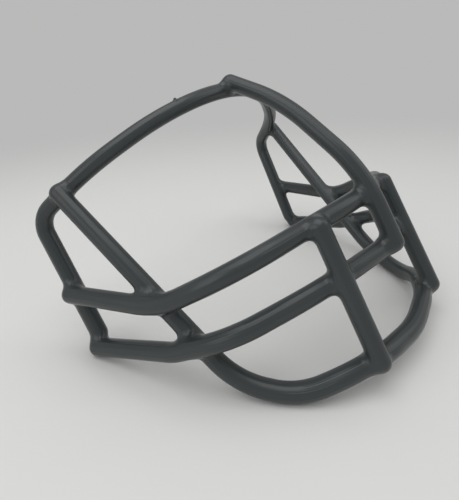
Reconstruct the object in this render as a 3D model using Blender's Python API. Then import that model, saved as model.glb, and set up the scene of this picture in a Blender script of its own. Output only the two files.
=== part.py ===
"""Football face guard: seven bent steel wires, lap welded, under a dipped vinyl coat.

Lengths are in millimetres and are scaled to metres where the meshes are made.
+Z is up, the wearer faces -Y, and the wearer's left side is at +X.
The guard stands on its chin bar and on the rear ends of its lower crossbar.
"""

import math

import bmesh
import bpy
from mathutils import Matrix, Vector

MM = 0.001

# Driving dimensions.
WIRE_DIAMETER = 5.2
COAT_WALL = 2.15
FIT_GAP = 0.3
WELD_POCKET_GAP = 0.45
WELD_RADIUS = 4.2
WELD_HALF_HEIGHT = 2.3

# What follows from them.
WIRE_RADIUS = WIRE_DIAMETER / 2
COAT_RADIUS = WIRE_RADIUS + COAT_WALL
LAP_RISE = WIRE_DIAMETER + FIT_GAP
WIRE_END_PAST_DOME_CENTRE = COAT_RADIUS - COAT_WALL

# Mesh fineness.
WIRE_SIDES = 8
COAT_SIDES = 12
DOME_RINGS = 3
WELD_SEGMENTS = 10
WELD_RINGS = 6
BEND_SAGITTA = 0.25

# Bend tables. A row is the corner where two straight runs would meet, then the bend radius.
# A mirrored wire's table starts on the middle plane and runs out to its left end.
FRAME_BENDS = [
    (0.0, 30.0, 134.5, 134.0),
    (48.5, 37.0, 125.5, 134.0),
    (90.0, 58.5, 100.0, 107.0),
    (107.0, 84.0, 73.5, 13.0),
    (100.6, 51.3, 11.0, 0.0),
]
JAW_BENDS = [
    (0.0, -82.0, 12.0, 85.0),
    (30.0, -78.0, 13.5, 60.0),
    (52.0, -69.0, 11.5, 44.0),
    (67.5, -53.5, 3.5, 56.0),
    (81.0, -29.0, 7.5, 45.0),
    (102.0, 66.5, 90.0, 0.0),
]
UPPER_BAR_BENDS = [
    (0.0, -56.5, 80.0, 74.0),
    (80.5, -32.0, 64.5, 61.0),
    (94.5, 4.5, 41.0, 60.0),
    (108.0, 61.0, 35.0, 0.0),
]
LOWER_BAR_BENDS = [
    (0.0, -66.5, 53.0, 28.0),
    (45.5, -56.0, 48.0, 150.0),
    (85.0, -31.5, 34.0, 40.0),
    (93.5, -1.5, 18.5, 30.0),
    (103.8, 49.0, 4.75, 0.0),
]
NOSE_BENDS = [
    (0.0, 28.5, 137.0, 0.0),
    (0.0, -8.0, 125.5, 160.0),
    (0.0, -53.0, 91.0, 95.0),
    (0.0, -70.0, 56.0, 0.0),
]
VERTICAL_BENDS = [
    (40.0, -50.0, 74.0, 0.0),
    (40.0, -78.8, 16.0, 0.0),
]

X_AXIS = Vector((1.0, 0.0, 0.0))
Y_AXIS = Vector((0.0, 1.0, 0.0))
Z_AXIS = Vector((0.0, 0.0, 1.0))

# Where wires lap: the inner wire, the outer wire, and the sides it happens on.
BOTH_SIDES = ("left", "right")
MIDDLE = ("middle",)
LAPS = [
    ("frame", "jaw", BOTH_SIDES),
    ("frame", "upper_bar", BOTH_SIDES),
    ("frame", "lower_bar", BOTH_SIDES),
    ("jaw", "upper_bar", BOTH_SIDES),
    ("jaw", "lower_bar", BOTH_SIDES),
    ("frame", "nose", MIDDLE),
    ("upper_bar", "nose", MIDDLE),
    ("lower_bar", "nose", MIDDLE),
    ("upper_bar", "vertical_left", ("left",)),
    ("lower_bar", "vertical_left", ("left",)),
    ("jaw", "vertical_left", ("left",)),
    ("upper_bar", "vertical_right", ("right",)),
    ("lower_bar", "vertical_right", ("right",)),
    ("jaw", "vertical_right", ("right",)),
]


def clear_scene():
    """Start from an empty scene."""
    for old in list(bpy.data.objects):
        bpy.data.objects.remove(old, do_unlink=True)


def flip_x(row):
    """One bend row seen in the middle plane."""
    return (-row[0], row[1], row[2], row[3])


def mirrored(bends):
    """The whole wire from the half that starts on the middle plane."""
    return [flip_x(row) for row in reversed(bends[1:])] + bends


def bend_points(before, corner, after, radius):
    """Points round one bend, with no chord further than BEND_SAGITTA from the arc."""
    run_in = (corner - before).normalized()
    run_out = (after - corner).normalized()
    turn = run_in.angle(run_out)
    shortest = min((corner - before).length, (after - corner).length) / 2
    setback = min(radius * math.tan(turn / 2), shortest)
    true_radius = setback / math.tan(turn / 2)
    start = corner - run_in * setback
    inward = (run_out - run_in * run_in.dot(run_out)).normalized()
    widest_step = 2 * math.acos(1 - BEND_SAGITTA / true_radius)
    steps = max(2, math.ceil(turn / widest_step))
    points = []
    for step in range(steps + 1):
        angle = turn * step / steps
        along = run_in * math.sin(angle) * true_radius
        across = inward * (1 - math.cos(angle)) * true_radius
        points.append(start + along + across)
    return points


def wire_path(bends):
    """The centreline of a wire as points, from its bend table."""
    corners = [Vector(row[:3]) for row in bends]
    points = [corners[0]]
    for index in range(1, len(corners) - 1):
        before, corner, after = corners[index - 1 : index + 2]
        points += bend_points(before, corner, after, bends[index][3])
    points.append(corners[-1])
    return without_repeats(points)


def without_repeats(points):
    """Drop a point that sits on the one before it."""
    kept = [points[0]]
    for point in points[1:]:
        if (point - kept[-1]).length > BEND_SAGITTA:
            kept.append(point)
    return kept


def lengthened(path, extra):
    """The path with both straight ends carried on by the extra length."""
    first = path[0] + (path[0] - path[1]).normalized() * extra
    last = path[-1] + (path[-1] - path[-2]).normalized() * extra
    return [first] + path[1:-1] + [last]


def tangents(path):
    """The direction of travel at each point, shared between the runs that meet there."""
    runs = [(b - a).normalized() for a, b in zip(path, path[1:])]
    shared = [(a + b).normalized() for a, b in zip(runs, runs[1:])]
    return [runs[0]] + shared + [runs[-1]]


def ring(mesh, centre, along, reference, radius, sides):
    """One polygon across the path, with a side facing as near the reference as it can."""
    first = (reference - along * reference.dot(along)).normalized()
    second = along.cross(first)
    corners = []
    for side in range(sides):
        angle = 2 * math.pi * (side + 0.5) / sides
        offset = first * math.cos(angle) + second * math.sin(angle)
        corners.append(mesh.verts.new((centre + offset * radius) * MM))
    return corners


def join_rings(mesh, one, other):
    """The band of quads between two rings."""
    count = len(one)
    for side in range(count):
        after = (side + 1) % count
        mesh.faces.new((one[side], one[after], other[after], other[side]))


def swept_bar(path, reference, radius, sides, domed):
    """A bar along the path with flat or domed ends."""
    mesh = bmesh.new()
    directions = tangents(path)
    stations = [(point, way, radius) for point, way in zip(path, directions)]
    if domed:
        stations = dome(path[0], -directions[0], radius)[::-1] + stations
        stations += dome(path[-1], directions[-1], radius)
    rings = []
    for index, (centre, _, size) in enumerate(stations):
        along = directions[station_direction(index, len(stations), len(path))]
        rings.append(ring(mesh, centre, along, reference, size, sides))
    for one, other in zip(rings, rings[1:]):
        join_rings(mesh, one, other)
    mesh.faces.new(list(reversed(rings[0])))
    mesh.faces.new(rings[-1])
    bmesh.ops.recalc_face_normals(mesh, faces=mesh.faces)
    return mesh


def station_direction(index, stations, points):
    """Which path point a station takes its direction from: a dome takes the end's."""
    extra = (stations - points) // 2
    return min(max(index - extra, 0), points - 1)


def dome(centre, outward, radius):
    """Stations that close an end with a hemisphere, from the bar outwards."""
    stations = []
    for step in range(1, DOME_RINGS + 1):
        angle = math.pi / 2 * step / (DOME_RINGS + 0.5)
        rise = outward * radius * math.sin(angle)
        stations.append((centre + rise, outward, radius * math.cos(angle)))
    return stations


def closest_approach(path_a, path_b, side):
    """The two points, one on each path, where the wires pass closest on one side."""
    best = None
    for a, b in side_runs(path_a, side):
        for c, d in side_runs(path_b, side):
            pair = nearest_on_runs(a, b, c, d)
            distance = (pair[0] - pair[1]).length
            if best is None or distance < best[0]:
                best = (distance, pair[0], pair[1])
    return best


def side_runs(path, side):
    """The straight runs of a path that lie on the left, on the right, or either."""
    sign = {"left": 1, "right": -1, "middle": 0}[side]
    runs = list(zip(path, path[1:]))
    return [(a, b) for a, b in runs if (a.x + b.x) * sign >= 0]


def nearest_on_runs(a, b, c, d):
    """The nearest points of two straight runs a-b and c-d."""
    on_first = a
    on_second = c
    for _ in range(12):
        on_second = clamp_to_run(on_first, c, d)
        on_first = clamp_to_run(on_second, a, b)
    return on_first, on_second


def clamp_to_run(point, start, end):
    """The point of a straight run nearest to a given point."""
    run = end - start
    share = (point - start).dot(run) / run.dot(run)
    return start + run * min(max(share, 0.0), 1.0)


def weld_matrix(inner_point, outer_point):
    """Where a weld sits: between the wires, with its short axis from one to the other."""
    across = (outer_point - inner_point).normalized()
    turn = Z_AXIS.rotation_difference(across).to_matrix().to_4x4()
    return Matrix.Translation((inner_point + outer_point) / 2 * MM) @ turn


def weld_mesh(matrices, growth):
    """Flattened balls at the given places, bigger than the welds by the growth."""
    mesh = bmesh.new()
    radius = (WELD_RADIUS + growth) * MM
    half_height = (WELD_HALF_HEIGHT + growth) * MM
    flatten = Matrix.Diagonal((radius, radius, half_height, 1.0))
    for matrix in matrices:
        bmesh.ops.create_uvsphere(
            mesh,
            u_segments=WELD_SEGMENTS,
            v_segments=WELD_RINGS,
            radius=1.0,
            matrix=matrix @ flatten,
        )
    return mesh


def add_object(name, mesh):
    """Turn a bmesh into a smooth shaded object."""
    data = bpy.data.meshes.new(name)
    mesh.to_mesh(data)
    mesh.free()
    data.shade_smooth()
    item = bpy.data.objects.new(name, data)
    bpy.context.scene.collection.objects.link(item)
    return item


def add_cutter(name, mesh):
    """A helper that only cuts other pieces."""
    item = add_object(name, mesh)
    item.hide_render = True
    item.display_type = "WIRE"
    return item


def cut(item, cutter):
    """Take the cutter's space out of the item."""
    step = item.modifiers.new("cut " + cutter.name, "BOOLEAN")
    step.operation = "DIFFERENCE"
    step.solver = "EXACT"
    step.object = cutter


def material(name, colour, metallic, roughness):
    """A plain Principled material."""
    made = bpy.data.materials.new(name)
    made.use_nodes = True
    shader = made.node_tree.nodes["Principled BSDF"]
    shader.inputs["Base Color"].default_value = (*colour, 1.0)
    shader.inputs["Metallic"].default_value = metallic
    shader.inputs["Roughness"].default_value = roughness
    return made


def paint(item, colour, metallic, roughness):
    """Give the item its own material."""
    item.data.materials.append(material("mat_" + item.name, colour, metallic, roughness))


def coat_radius_at_corners():
    """A coat's ring size that puts its flat sides, not its corners, at the coat radius."""
    return COAT_RADIUS / math.cos(math.pi / COAT_SIDES)


def grown_coat_radius():
    """The same ring with a fit gap round it."""
    return (COAT_RADIUS + FIT_GAP) / math.cos(math.pi / COAT_SIDES)


def build_paths():
    """Every wire's centreline and the direction its flats are turned to."""
    right_vertical = [flip_x(row) for row in VERTICAL_BENDS]
    tables = {
        "frame": (mirrored(FRAME_BENDS), Y_AXIS),
        "jaw": (mirrored(JAW_BENDS), Z_AXIS),
        "upper_bar": (mirrored(UPPER_BAR_BENDS), Z_AXIS),
        "lower_bar": (mirrored(LOWER_BAR_BENDS), Z_AXIS),
        "nose": (NOSE_BENDS, X_AXIS),
        "vertical_left": (VERTICAL_BENDS, X_AXIS),
        "vertical_right": (right_vertical, X_AXIS),
    }
    paths = {name: wire_path(bends) for name, (bends, _) in tables.items()}
    references = {name: reference for name, (_, reference) in tables.items()}
    shift = datum_shift(paths)
    for name, path in paths.items():
        paths[name] = [point + shift for point in path]
    return paths, references


def datum_shift(paths):
    """The move that sets the coated guard down on z = 0, centred front to back."""
    points = [point for path in paths.values() for point in path]
    lowest = min(point.z for point in points) - COAT_RADIUS
    front = min(point.y for point in points)
    back = max(point.y for point in points)
    return Vector((0.0, -(front + back) / 2, -lowest))


def find_welds(paths):
    """Name, inner wire, outer wire and place of every weld."""
    welds = []
    for inner, outer, sides in LAPS:
        for side in sides:
            gap, inner_point, outer_point = closest_approach(paths[inner], paths[outer], side)
            if gap < LAP_RISE - 0.02:
                raise ValueError(f"{inner} and {outer} pass {gap:.3f} mm apart on the {side}")
            name = f"weld_{inner}_{outer}"
            if len(sides) > 1:
                name += "_" + side
            welds.append((name, inner, outer, weld_matrix(inner_point, outer_point)))
    return welds


def build_wires(paths, references):
    """The bare steel wires, with flat sawn ends."""
    for name, path in paths.items():
        steel = lengthened(path, WIRE_END_PAST_DOME_CENTRE)
        mesh = swept_bar(steel, references[name], WIRE_RADIUS, WIRE_SIDES, False)
        item = add_object("wire_" + name, mesh)
        paint(item, (0.42, 0.42, 0.41), 1.0, 0.42)


def build_wire_cutters(paths, references):
    """Each wire with a fit gap round it: it bores the coats and trims the welds."""
    cutters = {}
    for name, path in paths.items():
        steel = lengthened(path, WIRE_END_PAST_DOME_CENTRE + FIT_GAP)
        size = WIRE_RADIUS + FIT_GAP
        mesh = swept_bar(steel, references[name], size, WIRE_SIDES, False)
        cutters[name] = add_cutter("cutter_wire_" + name, mesh)
    return cutters


def build_coat_cutters(paths, references):
    """Each coat with a fit gap round it: the coat of an inner wire gives way to it."""
    cutters = {}
    for name, path in paths.items():
        if name == "frame":
            continue
        mesh = swept_bar(path, references[name], grown_coat_radius(), COAT_SIDES, True)
        cutters[name] = add_cutter("cutter_coat_" + name, mesh)
    return cutters


def build_welds(welds, wire_cutters):
    """One weld at each lap, trimmed clear of the two wires it joins."""
    for name, inner, outer, matrix in welds:
        item = add_object(name, weld_mesh([matrix], 0.0))
        paint(item, (0.30, 0.29, 0.28), 1.0, 0.6)
        cut(item, wire_cutters[inner])
        cut(item, wire_cutters[outer])


def build_coats(paths, references, welds, wire_cutters, coat_cutters):
    """The vinyl coat of each wire, cut where other wires, coats and welds take its space."""
    pockets = add_cutter("cutter_welds", weld_mesh([weld[3] for weld in welds], WELD_POCKET_GAP))
    for name, path in paths.items():
        mesh = swept_bar(path, references[name], coat_radius_at_corners(), COAT_SIDES, True)
        item = add_object("coat_" + name, mesh)
        paint(item, (0.040, 0.048, 0.050), 0.0, 0.38)
        for outer in outer_wires(name):
            cut(item, coat_cutters[outer])
        for inner in inner_wires(name):
            cut(item, wire_cutters[inner])
        cut(item, wire_cutters[name])
        cut(item, pockets)


def outer_wires(name):
    """The wires that lap over this one."""
    return sorted({outer for inner, outer, _ in LAPS if inner == name})


def inner_wires(name):
    """The wires that this one laps over."""
    return sorted({inner for inner, outer, _ in LAPS if outer == name})


def main():
    clear_scene()
    paths, references = build_paths()
    welds = find_welds(paths)
    build_wires(paths, references)
    wire_cutters = build_wire_cutters(paths, references)
    coat_cutters = build_coat_cutters(paths, references)
    build_welds(welds, wire_cutters)
    build_coats(paths, references, welds, wire_cutters, coat_cutters)


main()
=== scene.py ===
"""A football face guard: bent and welded steel wires under one dipped vinyl skin.

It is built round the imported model, in metres, with +Z up and the wearer facing -Y.
"""

import math

import bmesh
import bpy
import numpy as np
from mathutils import Matrix, Vector
from mathutils.kdtree import KDTree


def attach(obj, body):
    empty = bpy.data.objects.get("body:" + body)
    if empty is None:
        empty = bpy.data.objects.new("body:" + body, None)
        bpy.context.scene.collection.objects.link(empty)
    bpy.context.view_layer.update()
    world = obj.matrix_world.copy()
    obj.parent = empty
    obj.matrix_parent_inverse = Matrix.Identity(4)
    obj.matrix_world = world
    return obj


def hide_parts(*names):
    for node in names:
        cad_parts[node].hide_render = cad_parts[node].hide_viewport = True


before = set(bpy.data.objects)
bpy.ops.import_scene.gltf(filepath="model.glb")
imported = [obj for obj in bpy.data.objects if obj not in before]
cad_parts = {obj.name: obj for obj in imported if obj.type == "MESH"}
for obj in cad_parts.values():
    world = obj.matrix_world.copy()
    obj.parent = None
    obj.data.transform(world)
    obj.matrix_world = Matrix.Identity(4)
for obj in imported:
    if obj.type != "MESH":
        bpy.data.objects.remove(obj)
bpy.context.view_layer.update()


# ---------------------------------------------------------------------------
# The seven wires. They are cold drawn 5 gauge steel, bent on a jig and cut square.
# The skin hides them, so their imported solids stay, in a drawn steel finish.


class Value:
    """A shader socket that can be used in sums: each operation adds its Math node."""

    def __init__(self, finish, socket):
        self.finish = finish
        self.socket = socket

    def sum_with(self, operation, first, second):
        node = self.finish.node("ShaderNodeMath", {"operation": operation}, {0: first, 1: second})
        return node[0]

    def __add__(self, other):
        return self.sum_with("ADD", self, other)

    def __radd__(self, other):
        return self.sum_with("ADD", other, self)

    def __mul__(self, other):
        return self.sum_with("MULTIPLY", self, other)

    def __rmul__(self, other):
        return self.sum_with("MULTIPLY", other, self)


class Outputs:
    """What a node gives out, by place or by name."""

    def __init__(self, finish, node):
        self.finish = finish
        self.node = node

    def __getitem__(self, key):
        return Value(self.finish, self.node.outputs[key])


class Finish:
    """One material: a Principled shader and the nodes that vary it."""

    def __init__(self, name):
        self.material = bpy.data.materials.new(name)
        self.material.use_nodes = True
        self.tree = self.material.node_tree
        self.shader = self.tree.nodes["Principled BSDF"]

    def feed(self, target, value):
        """A plain number or colour is set on the socket; anything else is linked to it."""
        if isinstance(value, Value):
            self.tree.links.new(value.socket, target)
        else:
            target.default_value = value

    def node(self, kind, settings, inputs):
        """Any other node: its type, its settings, then its sockets' values or links."""
        made = self.tree.nodes.new(kind)
        for name, value in settings.items():
            setattr(made, name, value)
        for key, value in inputs.items():
            self.feed(made.inputs[key], value)
        return Outputs(self, made)

    def vectors(self, operation, *given):
        """A Vector Math node on one or two vectors."""
        return self.node("ShaderNodeVectorMath", {"operation": operation}, dict(enumerate(given)))

    def place(self):
        """Where on the piece a point is."""
        return self.node("ShaderNodeTexCoord", {}, {})["Object"]

    def noise(self, where, scale, detail):
        """Smooth random patches, from 0 to 1, so many to the metre."""
        sizes = {"Vector": where, "Scale": scale, "Detail": detail}
        return self.node("ShaderNodeTexNoise", {}, sizes)["Fac"]

    def fade(self, value, low, high):
        """0 up to the low value, 1 from the high value, and a soft step between."""
        settings = {"interpolation_type": "SMOOTHSTEP"}
        ends = {"Value": value, "From Min": low, "From Max": high}
        return self.node("ShaderNodeMapRange", settings, ends)["Result"]

    def between(self, share, low, high):
        """A colour between two colours, each of them a plain colour or a link."""
        first_colour, second_colour, mixed_colour = 6, 7, 2
        inputs = {"Factor": share, first_colour: low, second_colour: high}
        return self.node("ShaderNodeMix", {"data_type": "RGBA"}, inputs)[mixed_colour]

    def bump(self, height, distance, strength, under=None):
        """A surface relief of so many metres, on top of another where one is given."""
        values = {"Height": height, "Distance": distance, "Strength": strength}
        if under is not None:
            values["Normal"] = under
        return self.node("ShaderNodeBump", {}, values)["Normal"]

    def surface(self, **values):
        """Sets or links the shader's own sockets."""
        for name, value in values.items():
            self.feed(self.shader.inputs[name.replace("_", " ").title()], value)


def drawn_steel():
    """Dull grey drawn wire: fine scratches, and patches of a faint brown."""
    brown_steel = (0.34, 0.33, 0.31, 1.0)
    grey_steel = (0.46, 0.46, 0.45, 1.0)
    steel = Finish("drawn_steel")
    where = steel.place()
    patches = steel.noise(where, scale=220.0, detail=3.0)
    scratches = steel.noise(where, scale=4200.0, detail=2.0)
    steel.surface(
        base_color=steel.between(patches, brown_steel, grey_steel),
        roughness=0.34 + 0.22 * scratches,
        metallic=1.0,
        normal=steel.bump(scratches, distance=0.00002, strength=0.4),
    )
    return steel.material


WIRES = ("frame", "jaw", "upper_bar", "lower_bar", "nose", "vertical_left", "vertical_right")
steel_finish = drawn_steel()
for name in WIRES:
    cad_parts["wire_" + name].material_slots[0].material = steel_finish


# ---------------------------------------------------------------------------
# The welds. Each lap is joined by one electric weld, a flattened bead between the wires.
# They stay as packed too, in darker, scaled steel with straw and blue heat colours.


def weld_metal():
    """Steel that has been melted: grey oxide over straw and blue heat colours."""
    straw_heat = (0.20, 0.16, 0.12, 1.0)
    blue_heat = (0.13, 0.15, 0.20, 1.0)
    grey_oxide = (0.30, 0.29, 0.28, 1.0)
    metal = Finish("weld_metal")
    where = metal.place()
    oxide = metal.noise(where, scale=900.0, detail=4.0)
    heat = metal.between(metal.noise(where, scale=260.0, detail=1.0), straw_heat, blue_heat)
    metal.surface(
        base_color=metal.between(oxide, heat, grey_oxide),
        roughness=0.45 + 0.30 * oxide,
        metallic=0.9,
        normal=metal.bump(oxide, distance=0.00006, strength=0.6),
    )
    return metal.material


weld_finish = weld_metal()
for name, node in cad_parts.items():
    if name.startswith("weld_"):
        node.material_slots[0].material = weld_finish


# ---------------------------------------------------------------------------
# The vinyl skin. The whole cage is dipped in liquid vinyl and cured, so one thick skin covers
# every bar, rounds the sawn ends and draws itself into smooth webs where bars cross.
# It stands for the seven packed coats.

MM = 0.001

# Lengths in this section and the next are in millimetres, and MM turns them into metres.
COAT_RADIUS = 4.75
WEB_REACH = 4.6
GRAIN = 0.92
SAMPLE_STEP = 0.5
TUBE_SIDES = 32
BALL_LEVELS = 4

# How the rough skin is laid on the true surface: how many rounds, how many steps to the surface
# in each, and how far a point then moves to the middle of its neighbours. The last round ends on
# the surface. The last three values keep a division, a search and a slope within bounds.
SETTLING_ROUNDS = 3
STEPS_TO_SURFACE = 2
EVENING_SHARE = 0.6
LEAST_LENGTH = 1e-6
FAR_AWAY = 1e3
LEAST_SLOPE = 0.05

# The fine lines that the vinyl leaves along a bar as it runs and sets. Each row is the line's
# turn round the bar from its outer side, in degrees, and a shift, in metres, that gives it its
# own breaks. The outer side is the one away from the middle of the face.
FACE_MIDDLE = (0.0, 40.0, 70.0)
FLOW_LINES = [
    (30.0, 0.0),
    (64.0, 3.0),
    (-36.0, 6.0),
    (92.0, 9.0),
    (-75.0, 12.0),
    (150.0, 15.0),
]
LINE_HALF_WIDTH = 8.0
LINE_HEIGHT = 0.09
BREAK_SCALE = 30.0
BREAK_ENDS = (0.36, 0.47)
WEB_ENDS = (0.90, 0.97)
PEEL_HEIGHT = 0.06

VINYL_DARK = (0.026, 0.032, 0.033, 1.0)
VINYL_LIGHT = (0.036, 0.043, 0.044, 1.0)

# A row is the corner where two straight runs would meet, then the bend radius.
# A table starts on the middle plane, or at a wire's upper end, and those that cross the middle
# run out to the wearer's left.
FRAME_BENDS = [
    (0.0, 30.0, 134.5, 134.0),
    (48.5, 37.0, 125.5, 134.0),
    (90.0, 58.5, 100.0, 107.0),
    (107.0, 84.0, 73.5, 13.0),
    (100.6, 51.3, 11.0, 0.0),
]
JAW_BENDS = [
    (0.0, -82.0, 12.0, 85.0),
    (30.0, -78.0, 13.5, 60.0),
    (52.0, -69.0, 11.5, 44.0),
    (67.5, -53.5, 3.5, 56.0),
    (81.0, -29.0, 7.5, 45.0),
    (102.0, 66.5, 90.0, 0.0),
]
UPPER_BAR_BENDS = [
    (0.0, -56.5, 80.0, 74.0),
    (80.5, -32.0, 64.5, 61.0),
    (94.5, 4.5, 41.0, 60.0),
    (108.0, 61.0, 35.0, 0.0),
]
LOWER_BAR_BENDS = [
    (0.0, -66.5, 53.0, 28.0),
    (45.5, -56.0, 48.0, 150.0),
    (85.0, -31.5, 34.0, 40.0),
    (93.5, -1.5, 18.5, 30.0),
    (103.8, 49.0, 4.75, 0.0),
]
NOSE_BENDS = [
    (0.0, 28.5, 137.0, 0.0),
    (0.0, -8.0, 125.5, 160.0),
    (0.0, -53.0, 91.0, 95.0),
    (0.0, -70.0, 56.0, 0.0),
]
VERTICAL_BENDS = [
    (40.0, -50.0, 74.0, 0.0),
    (40.0, -78.8, 16.0, 0.0),
]


def flipped(bends):
    """The same bends on the wearer's right."""
    return [(-x, y, z, radius) for x, y, z, radius in bends]


def across(bends):
    """A wire that crosses the middle, from its right end to its left end."""
    return flipped(bends)[:0:-1] + bends


def round_corner(before, corner, after, radius):
    """Where the bend starts, the way in, the way to its centre, its true radius, its turn."""
    way_in = (corner - before).normalized()
    way_out = (after - corner).normalized()
    turn = way_in.angle(way_out)
    room = min((corner - before).length, (after - corner).length) / 2
    setback = min(radius * math.tan(turn / 2), room)
    start = corner - way_in * setback
    inward = (way_out - way_in * way_in.dot(way_out)).normalized()
    return start, way_in, inward, setback / math.tan(turn / 2), turn


def centreline(bends):
    """The bent wire's middle: close points and the direction of travel at each."""
    corners = [Vector(row[:3]) for row in bends]
    points = []
    ways = []
    reached = corners[0]
    for index in range(1, len(corners)):
        last = index == len(corners) - 1
        if last:
            target = corners[-1]
            way = (target - reached).normalized()
        else:
            bend = round_corner(*corners[index - 1 : index + 2], bends[index][3])
            target, way, inward, radius, turn = bend
        steps = max(1, math.ceil((target - reached).length / SAMPLE_STEP))
        for step in range(steps):
            points.append(reached.lerp(target, step / steps))
            ways.append(way)
        reached = target
        if last:
            break
        steps = max(2, math.ceil(radius * turn / SAMPLE_STEP))
        for step in range(steps):
            angle = turn * step / steps
            along = way * math.sin(angle) + inward * (1 - math.cos(angle))
            points.append(target + along * radius)
            ways.append(way * math.cos(angle) + inward * math.sin(angle))
        reached = target + (way * math.sin(turn) + inward * (1 - math.cos(turn))) * radius
    points.append(reached)
    ways.append(ways[-1])
    return np.array(points), np.array(ways)


class Run:
    """One coated bar, and where points lie from its middle."""

    def __init__(self, bends):
        self.points, self.ways = centreline(bends)
        self.tree = None

    def plant(self, shift):
        """Sets the bar down with the rest of the guard and sorts its points for searching."""
        self.points += shift
        self.tree = KDTree(len(self.points))
        for index, point in enumerate(self.points):
            self.tree.insert(point, index)
        self.tree.balance()

    def nearest(self, places):
        """Which of the bar's points is nearest to each place."""
        return np.array([self.tree.find(place)[1] for place in places])

    def away(self, places):
        """Each place's distance from the bar's surface, and the direction that leaves it."""
        nearest = self.nearest(places)
        foot = self.points[nearest]
        way = self.ways[nearest]
        along = ((places - foot) * way).sum(axis=1)
        along[(nearest == 0) & (along < 0)] = 0.0
        along[(nearest == len(self.points) - 1) & (along > 0)] = 0.0
        offset = places - foot - way * along[:, None]
        length = np.maximum(np.linalg.norm(offset, axis=1), LEAST_LENGTH)
        return length - COAT_RADIUS, offset / length[:, None]

    def facing(self, places):
        """How far outside the bar each place is, and its shares outwards and sideways round it."""
        depth, out = self.away(places)
        nearest = self.nearest(places)
        way = self.ways[nearest]
        outward = self.points[nearest] - np.array(FACE_MIDDLE)
        outward -= way * (outward * way).sum(axis=1)[:, None]
        outward /= np.linalg.norm(outward, axis=1)[:, None]
        sideways = np.cross(outward, way)
        return depth, (out * outward).sum(axis=1), (out * sideways).sum(axis=1)


def set_down(runs):
    """Stands the coated guard on the floor, centred front to back, as the wires stand."""
    every = np.vstack([run.points for run in runs])
    middle = (every[:, 1].min() + every[:, 1].max()) / 2
    shift = np.array((0.0, -middle, COAT_RADIUS - every[:, 2].min()))
    for run in runs:
        run.plant(shift)


def skin_depth(places, runs, near):
    """How far places are outside the skin, and the way out of it.

    Where two bars are near, their surfaces run into each other over the web's reach."""
    depth = np.full(len(places), FAR_AWAY)
    out = np.zeros_like(places)
    for run, reached in zip(runs, near):
        found, way = run.away(places[reached])
        held, held_way = depth[reached], out[reached]
        overlap = np.maximum(WEB_REACH - np.abs(held - found), 0.0) / WEB_REACH
        lift = overlap * overlap * WEB_REACH / 4
        share = np.where(found < held, 1 - overlap / 2, overlap / 2)
        depth[reached] = np.minimum(held, found) - lift
        out[reached] = held_way * (1 - share)[:, None] + way * share[:, None]
    return depth, out


def settle(places, edges, runs):
    """Evens out the points of the rough skin and lays each of them on the true surface.

    It gives back the places, the surface's normals there, and which points are near each bar."""
    near = []
    for run in runs:
        far, _ = run.away(places)
        near.append(np.flatnonzero(far < WEB_REACH * 2))
    neighbours = np.bincount(edges.ravel(), minlength=len(places)).astype(float)
    for settling_round in range(SETTLING_ROUNDS):
        for _ in range(STEPS_TO_SURFACE):
            depth, out = skin_depth(places, runs, near)
            slope = np.maximum((out * out).sum(axis=1), LEAST_SLOPE)
            places = places - out * (depth / slope)[:, None]
        if settling_round == SETTLING_ROUNDS - 1:
            break
        total = np.zeros_like(places)
        for axis in range(3):
            total[:, axis] += np.bincount(edges[:, 0], places[edges[:, 1], axis], len(places))
            total[:, axis] += np.bincount(edges[:, 1], places[edges[:, 0], axis], len(places))
        middles = total / neighbours[:, None]
        places = places * (1 - EVENING_SHARE) + middles * EVENING_SHARE
    _, out = skin_depth(places, runs, near)
    return places, out / np.linalg.norm(out, axis=1)[:, None], near


def mark_facing(mesh, places, runs, near):
    """Keeps on each point of the skin which way round its own bar it lies."""
    nearest = np.full(len(places), FAR_AWAY)
    facing = np.zeros((len(places), 3))
    for run, reached in zip(runs, near):
        depth, outwards, sideways = run.facing(places[reached])
        closer = depth < nearest[reached]
        own = reached[closer]
        nearest[own] = depth[closer]
        facing[own, 0] = outwards[closer]
        facing[own, 1] = sideways[closer]
    held = mesh.attributes.new("facing", "FLOAT_VECTOR", "POINT")
    held.data.foreach_set("vector", facing.ravel())


def bar_curves(runs):
    """The bars' middles as one curve object, in metres, from every second point."""
    curve = bpy.data.curves.new("bar_middles", "CURVE")
    curve.dimensions = "3D"
    for run in runs:
        spline = curve.splines.new("POLY")
        thinned = np.vstack([run.points[:-1:2], run.points[-1:]]) * MM
        spline.points.add(len(thinned) - 1)
        weighted = np.column_stack([thinned, np.ones(len(thinned))])
        spline.points.foreach_set("co", weighted.ravel())
    return bpy.data.objects.new("bar_middles", curve)


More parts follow.
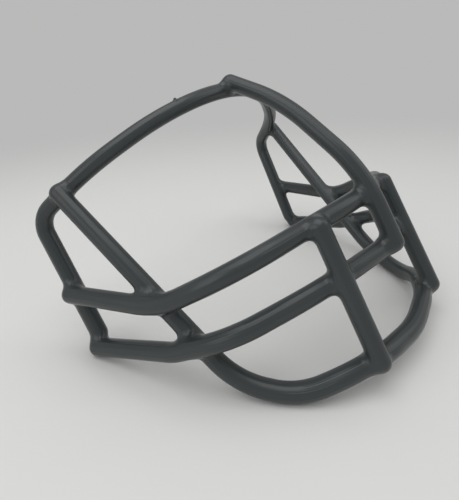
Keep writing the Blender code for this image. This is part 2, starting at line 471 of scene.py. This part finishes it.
def dipping_tree(finish):
    """Nodes that wrap a ball-ended tube round every curve."""
    tree = bpy.data.node_groups.new("dip_in_vinyl", "GeometryNodeTree")
    face = tree.interface
    face.new_socket("Bars", in_out="INPUT", socket_type="NodeSocketObject")
    face.new_socket("Coat radius", in_out="INPUT", socket_type="NodeSocketFloat")
    face.new_socket("Skin", in_out="OUTPUT", socket_type="NodeSocketGeometry")
    add = tree.nodes.new
    link = tree.links.new
    given = add("NodeGroupInput")
    given_back = add("NodeGroupOutput")
    bars = add("GeometryNodeObjectInfo")
    circle = add("GeometryNodeCurvePrimitiveCircle")
    circle.inputs["Resolution"].default_value = TUBE_SIDES
    tube = add("GeometryNodeCurveToMesh")
    tube.inputs["Fill Caps"].default_value = True
    ends = add("GeometryNodeCurveEndpointSelection")
    ball = add("GeometryNodeMeshIcoSphere")
    ball.inputs["Subdivisions"].default_value = BALL_LEVELS
    capped = add("GeometryNodeInstanceOnPoints")
    real = add("GeometryNodeRealizeInstances")
    both = add("GeometryNodeJoinGeometry")
    painted = add("GeometryNodeSetMaterial")
    painted.inputs["Material"].default_value = finish
    link(given.outputs["Bars"], bars.inputs["Object"])
    link(given.outputs["Coat radius"], circle.inputs["Radius"])
    link(bars.outputs["Geometry"], tube.inputs["Curve"])
    link(circle.outputs["Curve"], tube.inputs["Profile Curve"])
    link(bars.outputs["Geometry"], capped.inputs["Points"])
    link(ends.outputs["Selection"], capped.inputs["Selection"])
    link(given.outputs["Coat radius"], ball.inputs["Radius"])
    link(ball.outputs["Mesh"], capped.inputs["Instance"])
    link(capped.outputs["Instances"], real.inputs["Geometry"])
    link(tube.outputs["Mesh"], both.inputs["Geometry"])
    link(real.outputs["Geometry"], both.inputs["Geometry"])
    link(both.outputs["Geometry"], painted.inputs["Geometry"])
    link(painted.outputs["Geometry"], given_back.inputs["Skin"])
    return tree


def evaluated_mesh(item, name):
    """What an object's modifiers make of it, as a plain mesh object."""
    bpy.context.scene.collection.objects.link(item)
    bpy.context.view_layer.update()
    seen = item.evaluated_get(bpy.context.evaluated_depsgraph_get())
    made = bpy.data.meshes.new_from_object(seen)
    made.name = name
    bpy.data.objects.remove(item)
    plain = bpy.data.objects.new(name, made)
    bpy.context.scene.collection.objects.link(plain)
    return plain


def flow_lines(vinyl, where):
    """Fine raised lines along the bars, each with breaks, and none where bars meet."""
    raw = vinyl.node("ShaderNodeAttribute", {"attribute_name": "facing"}, {})["Vector"]
    size = vinyl.vectors("LENGTH", raw)["Value"]
    facing = vinyl.vectors("NORMALIZE", raw)["Vector"]
    edge = math.cos(math.radians(LINE_HALF_WIDTH))
    height = 0.0
    for turn, shift in FLOW_LINES:
        line = (math.cos(math.radians(turn)), math.sin(math.radians(turn)), 0.0)
        meets = vinyl.vectors("DOT_PRODUCT", facing, line)["Value"]
        there = vinyl.vectors("ADD", where, (shift, shift, shift))["Vector"]
        broken = vinyl.fade(vinyl.noise(there, BREAK_SCALE, detail=1.0), *BREAK_ENDS)
        height = height + vinyl.fade(meets, edge, 1.0) * broken
    return height * vinyl.fade(size, *WEB_ENDS)


def dipped_vinyl():
    """Dark green-grey vinyl, satin, with a faint orange peel and slow drifts of gloss."""
    vinyl = Finish("dipped_vinyl")
    where = vinyl.place()
    lines = flow_lines(vinyl, where)
    drift = vinyl.noise(where, scale=26.0, detail=2.0)
    peel = vinyl.noise(where, scale=620.0, detail=2.0)
    pebbled = vinyl.bump(peel, distance=PEEL_HEIGHT * MM, strength=0.35)
    vinyl.surface(
        base_color=vinyl.between(drift, VINYL_DARK, VINYL_LIGHT),
        roughness=0.23 + 0.08 * drift + 0.06 * peel,
        normal=vinyl.bump(lines, distance=LINE_HEIGHT * MM, strength=1.0, under=pebbled),
    )
    return vinyl.material


def vinyl_skin(finish):
    """The one skin over every bar, and the bars that it covers."""
    tables = [across(FRAME_BENDS), across(JAW_BENDS), across(UPPER_BAR_BENDS)]
    tables += [across(LOWER_BAR_BENDS), NOSE_BENDS, VERTICAL_BENDS, flipped(VERTICAL_BENDS)]
    runs = [Run(table) for table in tables]
    set_down(runs)
    bars = bar_curves(runs)
    bpy.context.scene.collection.objects.link(bars)
    blank = bpy.data.objects.new("skin_maker", bpy.data.meshes.new("skin_maker"))
    dip = blank.modifiers.new("dip", "NODES")
    dip.node_group = dipping_tree(finish)
    inputs = {item.name: item.identifier for item in dip.node_group.interface.items_tree}
    dip[inputs["Bars"]] = bars
    dip[inputs["Coat radius"]] = COAT_RADIUS * MM
    fuse = blank.modifiers.new("fuse", "REMESH")
    fuse.mode = "VOXEL"
    fuse.voxel_size = GRAIN * MM
    fuse.use_smooth_shade = True
    skin = evaluated_mesh(blank, "vinyl_skin")
    bpy.data.objects.remove(bars)
    mesh = skin.data
    mesh.materials.clear()
    mesh.materials.append(finish)
    places = np.empty(len(mesh.vertices) * 3)
    mesh.vertices.foreach_get("co", places)
    edges = np.empty(len(mesh.edges) * 2, dtype=np.int64)
    mesh.edges.foreach_get("vertices", edges)
    settled, out, near = settle(places.reshape(-1, 3) / MM, edges.reshape(-1, 2), runs)
    mesh.vertices.foreach_set("co", (settled * MM).ravel())
    mark_facing(mesh, settled, runs, near)
    mesh.update()
    mesh.normals_split_custom_set_from_vertices(out)
    return skin, runs


vinyl_finish = dipped_vinyl()
skin, runs = vinyl_skin(vinyl_finish)
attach(skin, "root")
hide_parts(*["coat_" + name for name in WIRES])


# ---------------------------------------------------------------------------
# One small stub of vinyl on top of the brow bar, left where the dip ran and set.
# It is the same vinyl as the skin and grows out of it.

DRIP_X = -38.5
DRIP_RADII = (2.2, 1.7, 1.2, 0.9, 0.82, 0.78, 0.6, 0.3)
DRIP_HEIGHTS = (-0.5, -0.05, 0.2, 0.45, 0.7, 0.9, 1.1, 1.2)
DRIP_TIP = 1.25
DRIP_SIDES = 20
BROW_LEAST_HEIGHT = 60.0


def drip_seat(brow):
    """The point on top of the brow bar where the stub stands, and its three directions."""
    miss = np.abs(brow.points[:, 0] - DRIP_X)
    miss += (brow.points[:, 2] < BROW_LEAST_HEIGHT) * FAR_AWAY
    index = int(miss.argmin())
    way = Vector(brow.ways[index])
    upward = Vector((0.0, 0.0, 1.0))
    upward = (upward - way * upward.dot(way)).normalized()
    return Vector(brow.points[index]) + upward * COAT_RADIUS, way, upward.cross(way), upward


def brow_drip(brow, finish):
    """A stub that flares into the skin below and has a round tip."""
    seat, way, side, upward = drip_seat(brow)
    points = []
    for radius, height in zip(DRIP_RADII, DRIP_HEIGHTS):
        for step in range(DRIP_SIDES):
            angle = math.tau * step / DRIP_SIDES
            spoke = way * math.cos(angle) + side * math.sin(angle)
            points.append((seat + spoke * radius + upward * height) * MM)
    faces = []
    for ring in range(len(DRIP_RADII) - 1):
        for step in range(DRIP_SIDES):
            low = ring * DRIP_SIDES + step
            ahead = ring * DRIP_SIDES + (step + 1) % DRIP_SIDES
            faces.append((low, low + DRIP_SIDES, ahead + DRIP_SIDES, ahead))
    top = len(points) - DRIP_SIDES
    points.append((seat + upward * DRIP_HEIGHTS[0]) * MM)
    points.append((seat + upward * DRIP_TIP) * MM)
    for step in range(DRIP_SIDES):
        after = (step + 1) % DRIP_SIDES
        faces.append((len(points) - 2, step, after))
        faces.append((len(points) - 1, top + after, top + step))
    mesh = bpy.data.meshes.new("brow_drip")
    mesh.from_pydata(points, [], faces)
    form = bmesh.new()
    form.from_mesh(mesh)
    bmesh.ops.recalc_face_normals(form, faces=form.faces)
    for face in form.faces:
        face.smooth = True
    form.to_mesh(mesh)
    form.free()
    mesh.materials.append(finish)
    drip = bpy.data.objects.new("brow_drip", mesh)
    bpy.context.scene.collection.objects.link(drip)
    return drip


drip = brow_drip(runs[0], vinyl_finish)
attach(drip, "root")


# ---------------------------------------------------------------------------
# The floor. A plain pale sheet: the lamps light it near the guard, and further out it fades to
# an even glow in the room's own grey that takes no lamp light, a painted backdrop tone. Lengths
# are in metres from here on.

ROOM_GREY = (0.490, 0.490, 0.488, 1.0)
FLOOR_GREY = (0.74, 0.74, 0.73, 1.0)
FLOOR_HALF_SIDE = 6.0
# Around this middle the sheet takes the lamps' light; past the far end it is the painted glow.
POOL_MIDDLE = (-0.07, 0.08, 0.0)
POOL_ENDS = (0.16, 0.90)


def floor_finish():
    """Matt pale grey near the guard that turns further out into an unlit glow of the room's own
    grey, painted light.
    """
    floor = Finish("pale_floor")
    distance = floor.vectors("DISTANCE", floor.place(), POOL_MIDDLE)["Value"]
    share = floor.fade(distance, *POOL_ENDS)
    floor.surface(base_color=FLOOR_GREY, roughness=0.75)
    glow = floor.node("ShaderNodeEmission", {}, {"Color": ROOM_GREY, "Strength": 1.0})["Emission"]
    near = Value(floor, floor.shader.outputs["BSDF"])
    mix = floor.node("ShaderNodeMixShader", {}, {0: share, 1: near, 2: glow})["Shader"]
    floor.feed(floor.tree.nodes["Material Output"].inputs["Surface"], mix)
    return floor.material


def pale_floor():
    """A flat sheet that the guard stands on."""
    half = FLOOR_HALF_SIDE
    mesh = bpy.data.meshes.new("floor")
    corners = [(-half, -half, 0.0), (half, -half, 0.0), (half, half, 0.0), (-half, half, 0.0)]
    mesh.from_pydata(corners, [], [(0, 1, 2, 3)])
    mesh.materials.append(floor_finish())
    sheet = bpy.data.objects.new("floor", mesh)
    bpy.context.scene.collection.objects.link(sheet)
    return sheet


pale_floor()


# ---------------------------------------------------------------------------
# The light. A wide soft box overhead, a weak one ahead of the wearer's left, another to the
# wearer's right, and an even grey room. A row is the name, place, width, height and watts.

SOFT_BOXES = [
    ("overhead", (-0.20, 0.0, 1.10), 1.1, 1.1, 5.7),
    ("window", (0.60, -0.60, 0.80), 0.6, 0.8, 1.2),
    ("fill", (-1.2, 0.2, 0.6), 0.8, 0.8, 2.2),
]
LIT_MIDDLE = (0.0, 0.0, 0.06)


def soft_box(name, place, wide, high, watts):
    """A rectangular area light that faces the guard's middle."""
    lamp = bpy.data.lights.new(name, "AREA")
    lamp.shape = "RECTANGLE"
    lamp.size = wide
    lamp.size_y = high
    lamp.energy = watts
    item = bpy.data.objects.new(name, lamp)
    aim = (Vector(LIT_MIDDLE) - Vector(place)).to_track_quat("-Z", "Y")
    item.matrix_world = Matrix.Translation(place) @ aim.to_matrix().to_4x4()
    bpy.context.scene.collection.objects.link(item)


for row in SOFT_BOXES:
    soft_box(*row)

room = bpy.data.worlds.new("room")
room.use_nodes = True
room.node_tree.nodes["Background"].inputs["Color"].default_value = ROOM_GREY
room.node_tree.nodes["Background"].inputs["Strength"].default_value = 1.0
bpy.context.scene.world = room
bpy.context.scene.view_settings.view_transform = "Standard"


# ---------------------------------------------------------------------------
# The camera: near, a little above, ahead of the wearer's right cheek. Its direction to the
# right is squared to its direction forward before it is used.

CAMERA_PLACE = (-0.2003, -0.1313, 0.1511)
CAMERA_FORWARD = (0.7040, 0.6603, -0.2613)
CAMERA_RIGHT = (0.6661, -0.7416, -0.0793)

forward = Vector(CAMERA_FORWARD).normalized()
right = Vector(CAMERA_RIGHT)
right = (right - forward * right.dot(forward)).normalized()
up = right.cross(forward)
turned = Matrix((right, up, -forward)).transposed().to_4x4()
view = bpy.data.cameras.new("camera")
view.sensor_width = 36.0
view.lens = 29.6
view.shift_x = 0.051
view.shift_y = -0.156
view.clip_start = 0.01
camera = bpy.data.objects.new("camera", view)
camera.matrix_world = Matrix.Translation(CAMERA_PLACE) @ turned
bpy.context.scene.collection.objects.link(camera)
bpy.context.scene.camera = camera
